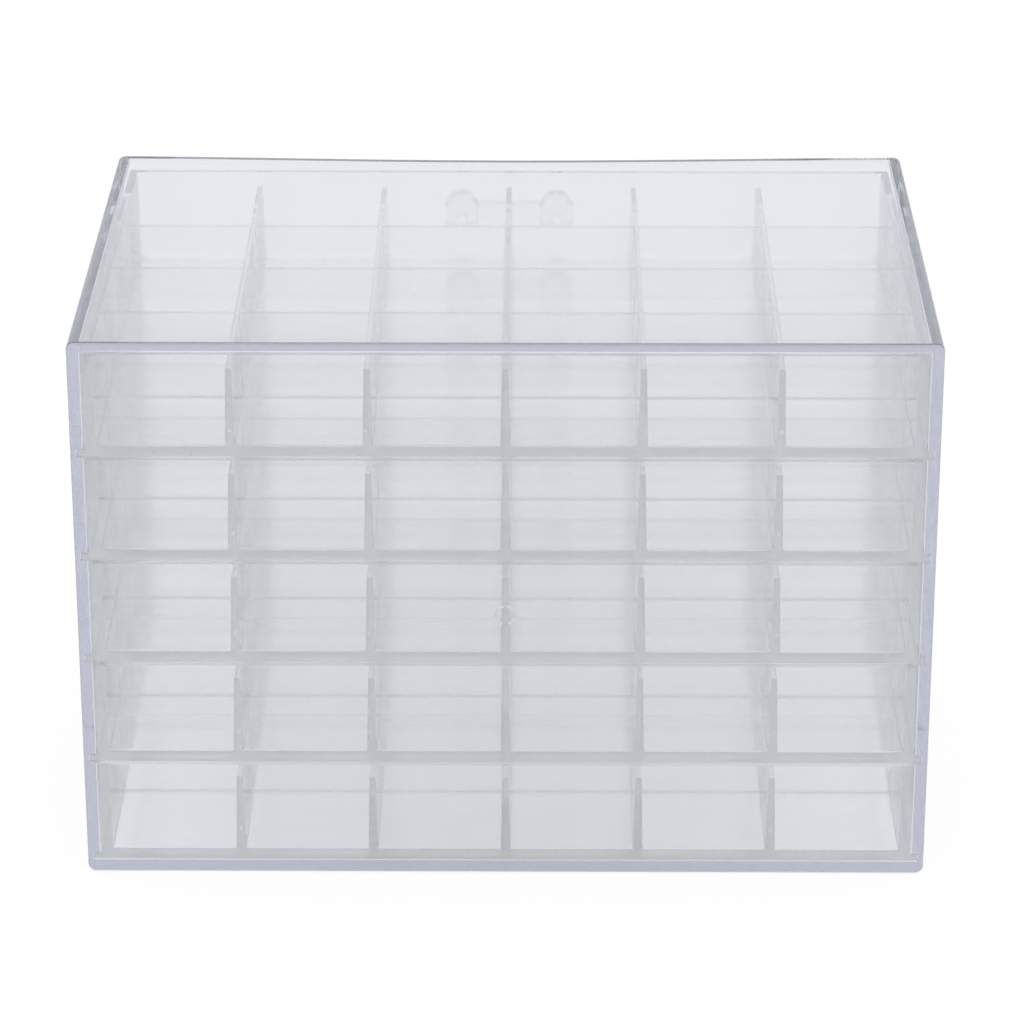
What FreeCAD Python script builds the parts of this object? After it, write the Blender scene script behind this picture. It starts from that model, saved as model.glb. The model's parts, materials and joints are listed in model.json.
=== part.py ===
"""Clear desk-top box with five sliding drawers, each a grid of small open compartments.

The case is one clear moulding, open at the front. A flange round the foot of each drawer's sides runs
in a pair of grooves in the case's side walls. A bridge handle is pressed into each drawer's front wall.

Frame: millimetres, +Z up. The drawers pull out towards -Y and the closed back is at +Y.
The origin is the centre of the case's underside. Level 1 is the top drawer.
"""

import FreeCAD, Part
import os

from FreeCAD import Vector

# Case, outside and walls
case_width = 240.0
case_depth = 159.0
side_wall = 3.2
top_wall = 3.0
bottom_wall = 3.0
back_wall = 3.0
long_corner_radius = 2.3
back_edge_radius = 1.0
ceiling_corner_radius = 0.8

# Grooves that carry the drawers
groove_depth = 1.8
slide_gap_below = 0.1
slide_gap_above = 0.4
flange_end_gap = 0.4

# Drawer trays
drawer_count = 5
tray_height = 30.0
floor_thickness = 2.0
wall_at_floor = 3.2
wall_at_rim = 2.3
outer_lean = 0.6
rim_gap = 1.35
head_gap = 1.5
tray_side_gap = 0.5
tray_back_gap = 0.5
front_inset = 6.0

# Compartments
column_count = 6
row_count = 4
divider_at_floor = 2.6
divider_at_top = 1.5
divider_drop = 4.6

# Handles
post_radius = 5.2
post_height = 11.2
post_spacing = 29.0
post_stand = 4.6
handle_lift = 10.8
bar_height = 7.6
bar_thickness = 3.4
handle_edge_radius = 0.5
spigot_radius = 1.6
spigot_fit = 0.0
spigot_short = 0.2

# Mark left by the mould's gate in the middle of the back
gate_recess_radius = 3.1
gate_recess_depth = 0.4
gate_stub_radius = 0.9
gate_stub_height = 0.25

# Sizes that follow from the ones above
drawer_pitch = tray_height + rim_gap
lowest_tray = bottom_wall + slide_gap_below
stack_top = lowest_tray + (drawer_count - 1) * drawer_pitch + tray_height
case_height = stack_top + head_gap + top_wall
mouth = -case_depth / 2
inside_back = case_depth / 2 - back_wall
inside_half_width = case_width / 2 - side_wall
groove_half_width = inside_half_width + groove_depth
flange_half_width = groove_half_width - flange_end_gap
tray_half_width = inside_half_width - tray_side_gap
tray_front = mouth + front_inset
tray_back = inside_back - tray_back_gap
wall_height = tray_height - floor_thickness
divider_top = tray_height - divider_drop
divider_height = divider_top - floor_thickness
post_y = tray_front - post_stand
past = 1.0


def tray_level(level):
    """Height of the underside of the tray at this level."""
    return lowest_tray + (drawer_count - level) * drawer_pitch


def tapered_block(low, high):
    """A block between two level rectangles, each given as (x0, x1, y0, y1, z)."""
    wires = []
    for x0, x1, y0, y1, z in (low, high):
        corners = [Vector(x0, y0, z), Vector(x1, y0, z), Vector(x1, y1, z), Vector(x0, y1, z)]
        wires.append(Part.makePolygon(corners + corners[:1]))
    return Part.makeLoft(wires, True, True)


def box_between(x0, x1, y0, y1, z0, z1):
    return Part.makeBox(x1 - x0, y1 - y0, z1 - z0, Vector(x0, y0, z0))


def rod_along_y(radius, x, y0, y1, z):
    return Part.makeCylinder(radius, y1 - y0, Vector(x, y0, z), Vector(0, 1, 0))


def long_edges(shape, above=None):
    """Edges that run along Y, all of them or only those above a height."""
    found = []
    for edge in shape.Edges:
        ends = [v.Point for v in edge.Vertexes]
        if len(ends) != 2 or (ends[1] - ends[0]).cross(Vector(0, 1, 0)).Length > 1e-6:
            continue
        if above is None or ends[0].z > above:
            found.append(edge)
    return found


def edges_along_x(shape):
    return [e for e in shape.Edges if e.BoundBox.XLength > 1 and e.BoundBox.YLength + e.BoundBox.ZLength < 1e-6]


def edges_at_y(shape, y):
    return [e for e in shape.Edges if abs(e.BoundBox.YMin - y) < 1e-6 and abs(e.BoundBox.YMax - y) < 1e-6]


# Case


def case_outside():
    block = box_between(-case_width / 2, case_width / 2, mouth, -mouth, 0, case_height)
    block = block.makeFillet(long_corner_radius, long_edges(block))
    return block.makeFillet(back_edge_radius, edges_at_y(block, -mouth))


def case_hollow():
    ceiling = case_height - top_wall
    hollow = box_between(-inside_half_width, inside_half_width, mouth - past, inside_back, bottom_wall, ceiling)
    return hollow.makeFillet(ceiling_corner_radius, long_edges(hollow, above=case_height / 2))


def grooves():
    """One slot through the whole width for each level, so that its two ends are the pair of grooves."""
    cuts = []
    for level in range(1, drawer_count + 1):
        floor = tray_level(level)
        cuts.append(
            box_between(
                -groove_half_width,
                groove_half_width,
                mouth - past,
                inside_back,
                floor - slide_gap_below,
                floor + floor_thickness + slide_gap_above,
            )
        )
    return cuts


def gate_mark():
    """A shallow round recess with the gate's stub standing in its middle."""
    back = case_depth / 2
    middle = case_height / 2
    floor = back - gate_recess_depth
    recess = rod_along_y(gate_recess_radius, 0, floor, back + past, middle)
    return recess.cut(rod_along_y(gate_stub_radius, 0, floor, floor + gate_stub_height, middle))


def case():
    body = case_outside().cut([case_hollow()] + grooves() + [gate_mark()])
    return body.removeSplitter()


# Drawer trays


def outer_face(height):
    """How far the outer faces have leaned in at this height above the tray's underside."""
    return outer_lean * (height - floor_thickness) / wall_height


def inner_face(height):
    """Distance of the inner faces from where the outer faces meet the floor, at this height."""
    share = (height - floor_thickness) / wall_height
    return wall_at_floor + (wall_at_rim + outer_lean - wall_at_floor) * share


def tray_section(inset, height, base):
    return (
        inset - tray_half_width,
        tray_half_width - inset,
        tray_front + inset,
        tray_back - inset,
        base + height,
    )


def tray_outside(level):
    """The walled block above the floor, before it's hollowed."""
    base = tray_level(level)
    low = tray_section(outer_face(floor_thickness), floor_thickness, base)
    high = tray_section(outer_face(tray_height), tray_height, base)
    return tapered_block(low, high)


def tray_floor(level):
    base = tray_level(level)
    return box_between(
        -flange_half_width, flange_half_width, tray_front, tray_back, base, base + floor_thickness
    )


def open_top(level):
    """The space over the dividers, from wall to wall."""
    base = tray_level(level)
    over = tray_height + past
    low = tray_section(inner_face(divider_top), divider_top, base)
    high = tray_section(inner_face(over), over, base)
    return tapered_block(low, high)


def cell_bounds(count, inner_at_top, inner_at_floor):
    """Both sides of each compartment across one direction, as (low, high) at the divider tops and floor."""
    (start, end), (floor_start, floor_end) = inner_at_top, inner_at_floor
    pitch = (end - start + divider_at_top) / count
    cells = []
    for i in range(count):
        before = start + i * pitch - divider_at_top / 2
        after = before + pitch
        top = (before + divider_at_top / 2, after - divider_at_top / 2)
        foot_start = floor_start if i == 0 else before + divider_at_floor / 2
        foot_end = floor_end if i == count - 1 else after - divider_at_floor / 2
        cells.append((top, (foot_start, foot_end)))
    return cells


def compartments(level):
    base = tray_level(level)
    at_top = tray_section(inner_face(divider_top), divider_top, base)
    at_floor = tray_section(inner_face(floor_thickness), floor_thickness, base)
    columns = cell_bounds(column_count, at_top[0:2], at_floor[0:2])
    rows = cell_bounds(row_count, at_top[2:4], at_floor[2:4])
    cuts = []
    for x_top, x_foot in columns:
        for y_top, y_foot in rows:
            low = (*x_foot, *y_foot, base + floor_thickness)
            high = (*x_top, *y_top, base + divider_top)
            cuts.append(tapered_block(low, high))
    return cuts


def spigot_places(level):
    """Where the two spigots enter the tray's front wall, as (x, z)."""
    height = tray_level(level) + handle_lift + bar_height / 2
    return [(side * post_spacing / 2, height) for side in (-1, 1)]


def tray(level):
    holes = []
    for x, z in spigot_places(level):
        wall_inside = tray_front + wall_at_floor + past
        holes.append(rod_along_y(spigot_radius + spigot_fit, x, tray_front - past, wall_inside, z))
    body = tray_floor(level).fuse(tray_outside(level))
    body = body.cut([open_top(level)] + compartments(level) + holes)
    return body.removeSplitter()


# Handles


def post(x, foot):
    """An upright round post with a domed head."""
    shank_height = post_height - post_radius
    shank = Part.makeCylinder(post_radius, shank_height, Vector(x, post_y, foot))
    rim = [e for e in shank.Edges if abs(e.BoundBox.ZMax - foot) < 1e-6]
    dome = Part.makeSphere(post_radius, Vector(x, post_y, foot + shank_height))
    return shank.makeFillet(handle_edge_radius, rim).fuse(dome)


def handle(level):
    """Two domed posts, the bar between them and two spigots that press into the tray's front wall."""
    foot = tray_level(level) + handle_lift
    places = spigot_places(level)
    (x0, z), (x1, _) = places
    back, front = post_y + bar_thickness / 2, post_y - bar_thickness / 2
    bar = box_between(x0, x1, front, back, foot, foot + bar_height)
    bar = bar.makeFillet(handle_edge_radius, edges_along_x(bar))
    grip = bar.fuse([post(x, foot) for x, _ in places]).cut(tray_outside(level))

    wall_inside = tray_front + inner_face(z - tray_level(level))
    spigots = [rod_along_y(spigot_radius, x, post_y, wall_inside - spigot_short, z) for x, z in places]
    return grip.fuse(spigots).removeSplitter()


def save(shape, node):
    solids = shape.Solids
    if len(solids) != 1 or not solids[0].isValid():
        raise ValueError(f"{node} is not one sound solid: {len(solids)} solids")
    solids[0].exportStep(f"parts/{node}.step")


os.makedirs("parts", exist_ok=True)
save(case(), "case")
for level in range(1, drawer_count + 1):
    save(tray(level), f"tray_{level}")
    save(handle(level), f"handle_{level}")
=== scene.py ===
"""Dresses the clear drawer box: bevelled clear mouldings, a pale studio and the camera behind the box."""

import json
import math

import bmesh
import bpy
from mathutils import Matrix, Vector

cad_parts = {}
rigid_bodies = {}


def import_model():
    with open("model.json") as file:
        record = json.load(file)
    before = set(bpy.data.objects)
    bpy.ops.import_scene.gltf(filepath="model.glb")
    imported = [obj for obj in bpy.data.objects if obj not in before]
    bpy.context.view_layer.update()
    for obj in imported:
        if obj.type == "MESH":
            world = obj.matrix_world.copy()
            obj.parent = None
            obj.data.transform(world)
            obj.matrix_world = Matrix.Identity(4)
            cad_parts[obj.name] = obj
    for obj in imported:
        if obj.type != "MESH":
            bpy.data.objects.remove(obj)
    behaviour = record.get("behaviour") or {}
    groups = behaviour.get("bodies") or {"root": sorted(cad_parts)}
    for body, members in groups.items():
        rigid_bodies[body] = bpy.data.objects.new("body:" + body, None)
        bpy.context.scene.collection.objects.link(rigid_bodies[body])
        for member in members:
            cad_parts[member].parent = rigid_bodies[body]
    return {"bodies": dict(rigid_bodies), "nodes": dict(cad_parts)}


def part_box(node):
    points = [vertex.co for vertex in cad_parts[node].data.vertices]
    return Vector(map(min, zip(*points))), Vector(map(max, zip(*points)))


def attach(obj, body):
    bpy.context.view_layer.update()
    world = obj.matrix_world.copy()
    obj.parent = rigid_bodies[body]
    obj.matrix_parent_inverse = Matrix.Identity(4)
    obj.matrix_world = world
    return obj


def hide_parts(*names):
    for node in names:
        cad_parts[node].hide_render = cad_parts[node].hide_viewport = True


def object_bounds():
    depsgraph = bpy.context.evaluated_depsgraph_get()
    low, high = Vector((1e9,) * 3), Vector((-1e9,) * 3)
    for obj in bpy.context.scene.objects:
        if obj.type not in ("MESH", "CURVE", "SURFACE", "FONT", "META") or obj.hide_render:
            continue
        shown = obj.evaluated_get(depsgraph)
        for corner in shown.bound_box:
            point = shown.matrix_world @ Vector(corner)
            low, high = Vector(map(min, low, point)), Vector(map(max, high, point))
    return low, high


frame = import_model()
cad_low, cad_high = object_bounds()

MM = 0.001
LEVELS = sorted(int(name.split("_")[1]) for name in frame["bodies"] if name.startswith("drawer_"))

# Loose points closer than this are one, faces that lean less than this are one flat face, and points
# closer than this to a cut lie on it
WELD = 0.002 * MM
FLAT_ANGLE = math.radians(0.3)
CUT_SPAN = 0.01 * MM

# An edge whose faces turn by more than this is sharp, and how strongly the large faces hold the shading
SHARP_ANGLE = math.radians(25)
FACE_HOLD = 100

# Edge rounding left by the moulds
CASE_EDGE = 0.35 * MM
TRAY_EDGE = 0.12 * MM
FOOT_ROUND = 1.2 * MM
RIB_ROUND = 0.15 * MM
EDGE_STEPS = 4

# Gate mark in the middle of the back: a shallow dish with the gate's stub in it, the reach of its edges,
# its depth, the share of its width that is left at its floor, and how wide its edges are rounded
GATE_RADIUS = 3.1 * MM
GATE_REACH = 4.1 * MM
GATE_DEPTH = 0.4 * MM
GATE_DISH = 0.78
GATE_EDGE = 0.08 * MM

# A tray's floor, how far in from its outside the compartments start, and the end walls with their feet
TRAY_FLOOR = 2.0 * MM
SIDE_REACH = 3.2 * MM
END_REACH = 1.5 * MM
END_WALL = 4.0 * MM
CLOSE = 0.1 * MM

# Air between a handle and the tray that it's pressed into
JOINT_AIR = 0.04 * MM

# The case's open mouth: how far down its top edge reaches, the skin that stays as it is, how far the
# lower edge is set back, and how far the middle sinks, with its shape and the cuts that let it bend
TOP_REACH = 4.5 * MM
OUTER_SKIN = 1.0 * MM
MOUTH_LEAN = 0.4 * MM
MOUTH_SAG = 1.15 * MM
SAG_SHAPE = 1.6
SAG_COLUMNS = 12
SAG_ROWS = 8

# Camera
CAMERA_PLACE = Vector((-8.75, 1160.6, 581.4)) * MM
CAMERA_DOWN = math.radians(23.42)
CAMERA_TURN = math.radians(0.364)
CAMERA_LENS = 149.5
SENSOR = 36.0
NEAREST = 0.05
FARTHEST = 50.0

# How often light may bounce inside the clear walls, and how many open layers it may cross
BOUNCES = 64
OPEN_LAYERS = 16

# Clear plastics: the tint's share that is kept, how strongly it's soaked up, and the haze of the faces
CASE_TINT, CASE_SOAK, CASE_HAZE = (0.18, 0.20, 0.40), 3.2, 0.05
TRAY_TINT, TRAY_SOAK, TRAY_HAZE = (0.24, 0.285, 0.235), 3.7, 0.07
HANDLE_TINT, HANDLE_SOAK, HANDLE_HAZE = (0.20, 0.22, 0.36), 4.0, 0.04

# How strongly clear polystyrene bends light, how far its haze strays, and how fine its clouds are
LIGHT_BEND = 1.59
HAZE_STRAY = 0.4
CLOUDS_TO_A_WAVE = 3

# Ripple of the moulded faces: how many waves to a metre, and how deep they are
CASE_WAVES, CASE_RIPPLE = 14.0, 0.006 * MM
TRAY_WAVES, TRAY_RIPPLE = 18.0, 0.006 * MM
HANDLE_WAVES, HANDLE_RIPPLE = 40.0, 0.005 * MM

# Studio: the paper floor, its glow with a painted shadow near the box and full far from it, the sky and the
# lamp
WHITE = (1.0, 1.0, 1.0, 1.0)
FLOOR_SIZE = 16.0
FLOOR_DROP = 0.3 * MM
PAPER_COLOUR = (0.92, 0.92, 0.92)
PAPER_ROUGHNESS = 0.9
# Painted shadow in the floor's glow that the clear faces see: its reach around the box, its glow under and
# near the box and far from it, and where it fades
PAINTED_SHADOW_HALF_WIDTH = 0.14
PAINTED_SHADOW_HALF_LENGTH = 0.20
GLOW_IN_PAINTED_SHADOW = 0.75
GLOW_BEYOND_PAINTED_SHADOW = 0.90
PAINTED_SHADOW_FADE_START = 0.3
PAINTED_SHADOW_FADE_END = 1.1
STUDIO_TINT = (0.925, 0.945, 1.0)
GLOW_TO_EYE = 0.92
GLOW_TO_MIRROR = 1.0
SKY_LOW = 0.75
SKY_HIGH = 0.97
SKY_HORIZON = 0.865
SKY_ABOVE = 1.2
LAMP_SIZE = 1.6
LAMP_HEIGHT = 1.8
LAMP_POWER = 27.0


# Meshes


def merged_copy(node):
    """The node's mesh with its loose triangles joined and its flat faces made whole."""
    source = frame["nodes"][node].data
    bm = bmesh.new()
    bm.from_mesh(source)
    bmesh.ops.remove_doubles(bm, verts=bm.verts, dist=WELD)
    bmesh.ops.dissolve_limit(
        bm,
        angle_limit=FLAT_ANGLE,
        verts=bm.verts,
        edges=bm.edges,
        use_dissolve_boundaries=False,
    )
    bmesh.ops.recalc_face_normals(bm, faces=bm.faces)
    return bm


def cut(bm, place, normal):
    """Divides the faces along a plane, so that they can bend there."""
    bmesh.ops.bisect_plane(
        bm,
        geom=bm.verts[:] + bm.edges[:] + bm.faces[:],
        plane_co=place,
        plane_no=normal,
        dist=CUT_SPAN,
    )


def weigh_edges(bm, widest, rounding):
    """Marks each sharp edge with its rounding, as a share of the widest one."""
    weight = bm.edges.layers.float.new("bevel_weight_edge")
    for edge in bm.edges:
        if len(edge.link_faces) == 2 and edge.calc_face_angle() >= SHARP_ANGLE:
            ends = [vert.co for vert in edge.verts]
            edge[weight] = rounding(ends) / widest


def finished_piece(bm, name, node, body, material):
    """Makes the piece that stands for the node, riding on its body."""
    for face in bm.faces:
        face.smooth = True
    mesh = bpy.data.meshes.new(name)
    bm.to_mesh(mesh)
    bm.free()
    mesh.materials.append(material)
    piece = bpy.data.objects.new(name, mesh)
    bpy.context.scene.collection.objects.link(piece)
    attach(piece, body)
    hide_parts(node)
    return piece


def hold_flat(piece):
    """Keeps the shading of large faces flat beside small rounded ones."""
    flat = piece.modifiers.new("flat_faces_stay_flat", "WEIGHTED_NORMAL")
    flat.weight = FACE_HOLD


def round_edges(piece, widest):
    """Rounds the marked edges, each by its share of the widest rounding."""
    bevel = piece.modifiers.new("rounded_edges", "BEVEL")
    bevel.limit_method = "WEIGHT"
    bevel.width = widest
    bevel.segments = EDGE_STEPS
    bevel.profile = 0.5
    bevel.use_clamp_overlap = False
    hold_flat(piece)


# Clear plastic


def add_math(tree, operation, first, second):
    """A Math node fed with sockets or plain numbers."""
    node = tree.nodes.new("ShaderNodeMath")
    node.operation = operation
    for i, value in enumerate((first, second)):
        if isinstance(value, (int, float)):
            node.inputs[i].default_value = value
        else:
            tree.links.new(value, node.inputs[i])
    return node.outputs[0]


def clear_plastic(name, tint, soak, haze, waves, ripple):
    """Polished clear polystyrene: it bends light, soaks up a little by its length, and ripples faintly."""
    material = bpy.data.materials.new(name)
    material.use_nodes = True
    tree = material.node_tree
    nodes, links = tree.nodes, tree.links
    shader = nodes["Principled BSDF"]
    shader.inputs["Base Color"].default_value = WHITE
    shader.inputs["IOR"].default_value = LIGHT_BEND
    shader.inputs["Transmission Weight"].default_value = 1.0

    absorb = nodes.new("ShaderNodeVolumeAbsorption")
    absorb.inputs["Color"].default_value = (*tint, 1.0)
    absorb.inputs["Density"].default_value = soak
    links.new(absorb.outputs["Volume"], nodes["Material Output"].inputs["Volume"])

    place = nodes.new("ShaderNodeTexCoord")
    wave = nodes.new("ShaderNodeTexNoise")
    wave.inputs["Scale"].default_value = waves
    wave.inputs["Detail"].default_value = 2.0
    links.new(place.outputs["Object"], wave.inputs["Vector"])
    bump = nodes.new("ShaderNodeBump")
    bump.inputs["Strength"].default_value = 1.0
    bump.inputs["Distance"].default_value = ripple
    links.new(wave.outputs["Fac"], bump.inputs["Height"])
    links.new(bump.outputs["Normal"], shader.inputs["Normal"])

    cloud = nodes.new("ShaderNodeTexNoise")
    cloud.inputs["Scale"].default_value = waves * CLOUDS_TO_A_WAVE
    links.new(place.outputs["Object"], cloud.inputs["Vector"])
    spread = nodes.new("ShaderNodeMapRange")
    spread.inputs["To Min"].default_value = haze * (1 - HAZE_STRAY)
    spread.inputs["To Max"].default_value = haze * (1 + HAZE_STRAY)
    links.new(cloud.outputs["Fac"], spread.inputs["Value"])
    links.new(spread.outputs["Result"], shader.inputs["Roughness"])
    return material


# Case


def lean_mouth(bm, low, high):
    """Sets the lower edge of the top's end face back, which is the draft that frees it from the mould."""
    for vert in bm.verts:
        at_mouth = vert.co.y < low.y + CLOSE
        under_top = high.z - TOP_REACH < vert.co.z < high.z - OUTER_SKIN
        if at_mouth and under_top and abs(vert.co.x) < high.x - OUTER_SKIN:
            vert.co.y += MOUTH_LEAN


def sink_mouth(bm, low, high):
    """Sinks the middle of the top towards the open mouth, as a long moulded edge does when it cools."""
    for i in range(1, SAG_COLUMNS):
        x = low.x + (high.x - low.x) * i / SAG_COLUMNS
        cut(bm, Vector((x, 0, 0)), Vector((1, 0, 0)))
    for i in range(1, SAG_ROWS):
        y = low.y + (high.y - low.y) * i / SAG_ROWS
        cut(bm, Vector((0, y, 0)), Vector((0, 1, 0)))
    half = (high.x - low.x) / 2
    depth = high.y - low.y
    for vert in bm.verts:
        if vert.co.z < high.z - TOP_REACH:
            continue
        across = math.cos(math.pi / 2 * min(1, abs(vert.co.x) / half)) ** SAG_SHAPE
        along = ((high.y - vert.co.y) / depth) ** 2
        vert.co.z -= MOUTH_SAG * across * along


def dish_gate(bm, gate):
    """Slopes the wall of the gate's recess, so that it's a dish."""
    for vert in bm.verts:
        away = Vector((vert.co.x - gate.x, 0.0, vert.co.z - gate.z))
        on_floor = abs(gate.y - GATE_DEPTH - vert.co.y) < CLOSE
        if on_floor and abs(away.length - GATE_RADIUS) < CLOSE:
            vert.co -= away * (1 - GATE_DISH)


def case_rounding(ends, gate):
    """How wide a sharp edge of the case is rounded: less round the gate than elsewhere."""
    at_gate = all((end - gate).length < GATE_REACH for end in ends)
    return GATE_EDGE if at_gate else CASE_EDGE


def make_case(plastic):
    low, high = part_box("case")
    gate = Vector((0.0, high.y, (low.z + high.z) / 2))
    bm = merged_copy("case")
    dish_gate(bm, gate)
    lean_mouth(bm, low, high)
    sink_mouth(bm, low, high)
    weigh_edges(bm, CASE_EDGE, lambda ends: case_rounding(ends, gate))
    shell = finished_piece(bm, "case_shell", "case", "case", plastic)
    round_edges(shell, CASE_EDGE)


# Drawers


def tray_rounding(ends, low, high):
    """How wide a tray's sharp edge is rounded: the compartments' feet more than the rest."""
    foot = low.z + TRAY_FLOOR
    for end in ends:
        at_foot = abs(end.z - foot) < CLOSE
        inside = abs(end.x) < high.x - SIDE_REACH and low.y + END_REACH < end.y < high.y - END_REACH
        if not (at_foot and inside):
            return TRAY_EDGE
    at_front = all(end.y < low.y + END_WALL for end in ends)
    at_back = all(end.y > high.y - END_WALL for end in ends)
    return FOOT_ROUND if at_front or at_back else RIB_ROUND


def make_tray(level, plastic):
    node = f"tray_{level}"
    low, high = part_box(node)
    bm = merged_copy(node)
    weigh_edges(bm, FOOT_ROUND, lambda ends: tray_rounding(ends, low, high))
    piece = finished_piece(bm, f"drawer_tray_{level}", node, f"drawer_{level}", plastic)
    round_edges(piece, FOOT_ROUND)


def make_handle(level, plastic):
    node = f"handle_{level}"
    bm = merged_copy(node)
    piece = finished_piece(bm, f"drawer_handle_{level}", node, f"drawer_{level}", plastic)
    shy = piece.modifiers.new("air_in_the_joint", "DISPLACE")
    shy.mid_level = 0.0
    shy.strength = -JOINT_AIR
    shy.direction = "NORMAL"
    hold_flat(piece)


# Studio


def paint_floor():
    """White paper that keeps its shadow, with a painted shadow in the glow that the clear faces see: dimmer
    under and near the box.
    """
    material = bpy.data.materials.new("studio_floor")
    material.use_nodes = True
    tree = material.node_tree
    nodes, links = tree.nodes, tree.links
    paper = nodes["Principled BSDF"]
    paper.inputs["Base Color"].default_value = (*PAPER_COLOUR, 1.0)
    paper.inputs["Roughness"].default_value = PAPER_ROUGHNESS

    place = nodes.new("ShaderNodeTexCoord")
    spread = nodes.new("ShaderNodeMapping")
    spread.inputs["Scale"].default_value = (1 / PAINTED_SHADOW_HALF_WIDTH, 1 / PAINTED_SHADOW_HALF_LENGTH, 0.0)
    links.new(place.outputs["Object"], spread.inputs["Vector"])
    reach = nodes.new("ShaderNodeVectorMath")
    reach.operation = "LENGTH"
    links.new(spread.outputs["Vector"], reach.inputs[0])
    # Painted shadow: the glow fades from dim under and near the box to full far from it
    painted_shadow = nodes.new("ShaderNodeMapRange")
    painted_shadow.interpolation_type = "SMOOTHSTEP"
    painted_shadow.inputs["From Min"].default_value = PAINTED_SHADOW_FADE_START
    painted_shadow.inputs["From Max"].default_value = PAINTED_SHADOW_FADE_END
    painted_shadow.inputs["To Min"].default_value = GLOW_IN_PAINTED_SHADOW
    painted_shadow.inputs["To Max"].default_value = GLOW_BEYOND_PAINTED_SHADOW
    links.new(reach.outputs["Value"], painted_shadow.inputs["Value"])

    sight = nodes.new("ShaderNodeLightPath")
    eye = sight.outputs["Is Camera Ray"]
    mirror = add_math(tree, "MAXIMUM", sight.outputs["Is Glossy Ray"], sight.outputs["Is Transmission Ray"])
    to_mirror = nodes.new("ShaderNodeEmission")
    to_mirror.inputs["Color"].default_value = (*STUDIO_TINT, 1.0)
    links.new(painted_shadow.outputs["Result"], to_mirror.inputs["Strength"])
    to_eye = nodes.new("ShaderNodeEmission")
    glow = nodes.new("ShaderNodeMixShader")
    links.new(eye, glow.inputs["Fac"])
    links.new(to_mirror.outputs["Emission"], glow.inputs[1])
    links.new(to_eye.outputs["Emission"], glow.inputs[2])

    share = add_math(
        tree,
        "ADD",
        add_math(tree, "MULTIPLY", eye, GLOW_TO_EYE),
        add_math(tree, "MULTIPLY", mirror, GLOW_TO_MIRROR),
    )
    blend = nodes.new("ShaderNodeMixShader")
    links.new(share, blend.inputs["Fac"])
    links.new(paper.outputs["BSDF"], blend.inputs[1])
    links.new(glow.outputs["Shader"], blend.inputs[2])
    links.new(blend.outputs["Shader"], nodes["Material Output"].inputs["Surface"])
    return material


def make_floor():
    bm = bmesh.new()
    bmesh.ops.create_grid(bm, x_segments=1, y_segments=1, size=FLOOR_SIZE / 2)
    bmesh.ops.translate(bm, vec=(0, 0, cad_low.z - FLOOR_DROP), verts=bm.verts)
    mesh = bpy.data.meshes.new("studio_floor")
    bm.to_mesh(mesh)
    bm.free()
    mesh.materials.append(paint_floor())
    floor = bpy.data.objects.new("studio_floor", mesh)
    bpy.context.scene.collection.objects.link(floor)


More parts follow.
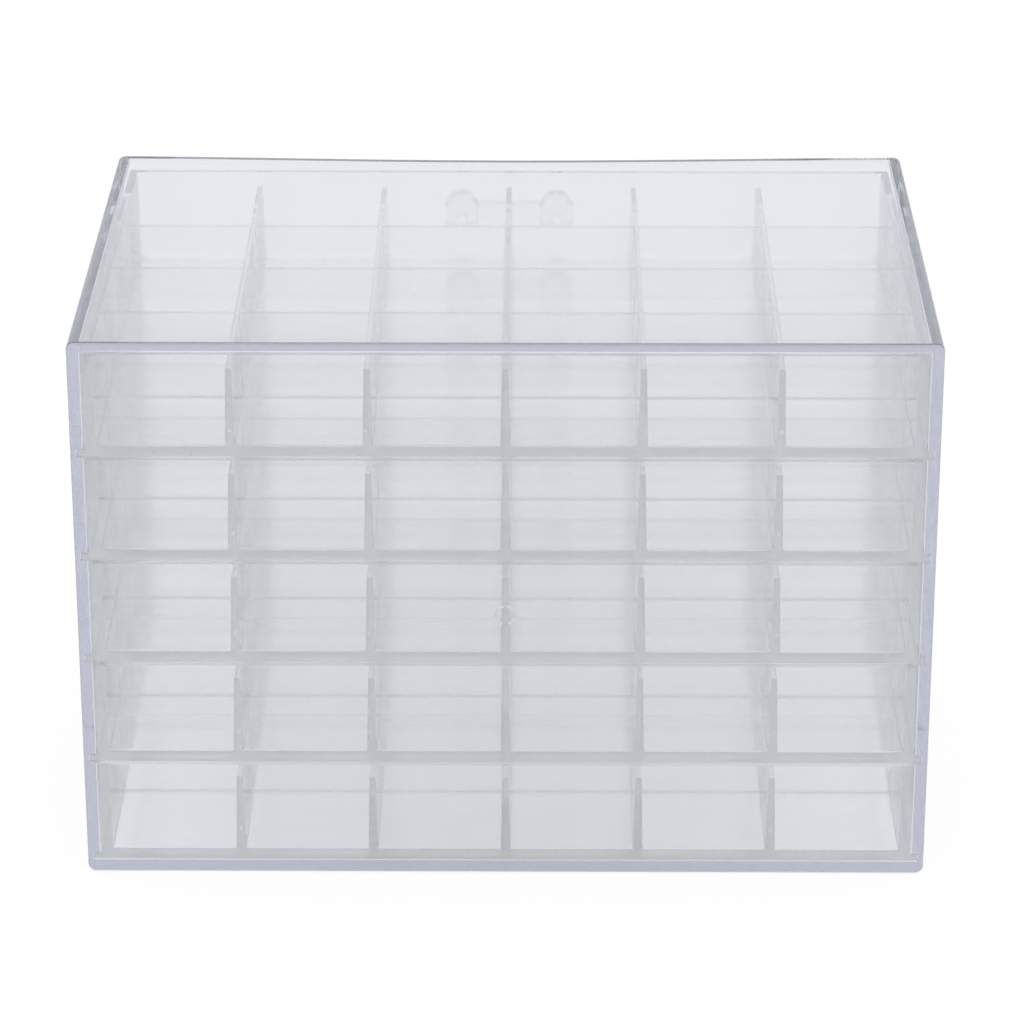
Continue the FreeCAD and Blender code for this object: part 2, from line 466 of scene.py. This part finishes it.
def make_sky():
    """White to the eye, and for the clear faces a little dimmer round the horizon than overhead."""
    world = bpy.data.worlds.new("studio_sky")
    world.use_nodes = True
    nodes, links = world.node_tree.nodes, world.node_tree.links
    place = nodes.new("ShaderNodeTexCoord")
    split = nodes.new("ShaderNodeSeparateXYZ")
    links.new(place.outputs["Generated"], split.inputs["Vector"])
    climb = nodes.new("ShaderNodeMapRange")
    climb.interpolation_type = "SMOOTHSTEP"
    climb.inputs["From Min"].default_value = SKY_LOW
    climb.inputs["From Max"].default_value = SKY_HIGH
    climb.inputs["To Min"].default_value = SKY_HORIZON
    climb.inputs["To Max"].default_value = SKY_ABOVE
    links.new(split.outputs["Z"], climb.inputs["Value"])
    background = nodes["Background"]
    background.inputs["Color"].default_value = (*STUDIO_TINT, 1.0)
    links.new(climb.outputs["Result"], background.inputs["Strength"])

    sight = nodes.new("ShaderNodeLightPath")
    white = nodes.new("ShaderNodeBackground")
    white.inputs["Color"].default_value = WHITE
    seen = nodes.new("ShaderNodeMixShader")
    links.new(sight.outputs["Is Camera Ray"], seen.inputs["Fac"])
    links.new(background.outputs["Background"], seen.inputs[1])
    links.new(white.outputs["Background"], seen.inputs[2])
    links.new(seen.outputs["Shader"], nodes["World Output"].inputs["Surface"])
    bpy.context.scene.world = world


def make_lamp():
    light = bpy.data.lights.new("soft_lamp", "AREA")
    light.shape = "SQUARE"
    light.size = LAMP_SIZE
    light.energy = LAMP_POWER
    lamp = bpy.data.objects.new("soft_lamp", light)
    bpy.context.scene.collection.objects.link(lamp)
    lamp.location = (0.0, 0.0, LAMP_HEIGHT)
    lamp.visible_glossy = False
    lamp.visible_transmission = False


def make_camera():
    lens = bpy.data.cameras.new("camera")
    lens.lens = CAMERA_LENS
    lens.sensor_width = SENSOR
    lens.clip_start = NEAREST
    lens.clip_end = FARTHEST
    camera = bpy.data.objects.new("camera", lens)
    bpy.context.scene.collection.objects.link(camera)
    camera.location = CAMERA_PLACE
    towards = Vector(
        (
            math.sin(CAMERA_TURN) * math.cos(CAMERA_DOWN),
            -math.cos(CAMERA_TURN) * math.cos(CAMERA_DOWN),
            -math.sin(CAMERA_DOWN),
        )
    )
    camera.rotation_euler = towards.to_track_quat("-Z", "Y").to_euler()
    bpy.context.scene.camera = camera


def set_view():
    scene = bpy.context.scene
    scene.view_settings.view_transform = "Standard"
    scene.cycles.max_bounces = BOUNCES
    scene.cycles.transmission_bounces = BOUNCES
    scene.cycles.glossy_bounces = BOUNCES
    scene.cycles.transparent_max_bounces = OPEN_LAYERS


case_plastic = clear_plastic("case_clear_plastic", CASE_TINT, CASE_SOAK, CASE_HAZE, CASE_WAVES, CASE_RIPPLE)
tray_plastic = clear_plastic("tray_clear_plastic", TRAY_TINT, TRAY_SOAK, TRAY_HAZE, TRAY_WAVES, TRAY_RIPPLE)
handle_plastic = clear_plastic(
    "handle_clear_plastic", HANDLE_TINT, HANDLE_SOAK, HANDLE_HAZE, HANDLE_WAVES, HANDLE_RIPPLE
)

make_case(case_plastic)
for level in LEVELS:
    make_tray(level, tray_plastic)
    make_handle(level, handle_plastic)
make_floor()
make_sky()
make_lamp()
make_camera()
set_view()
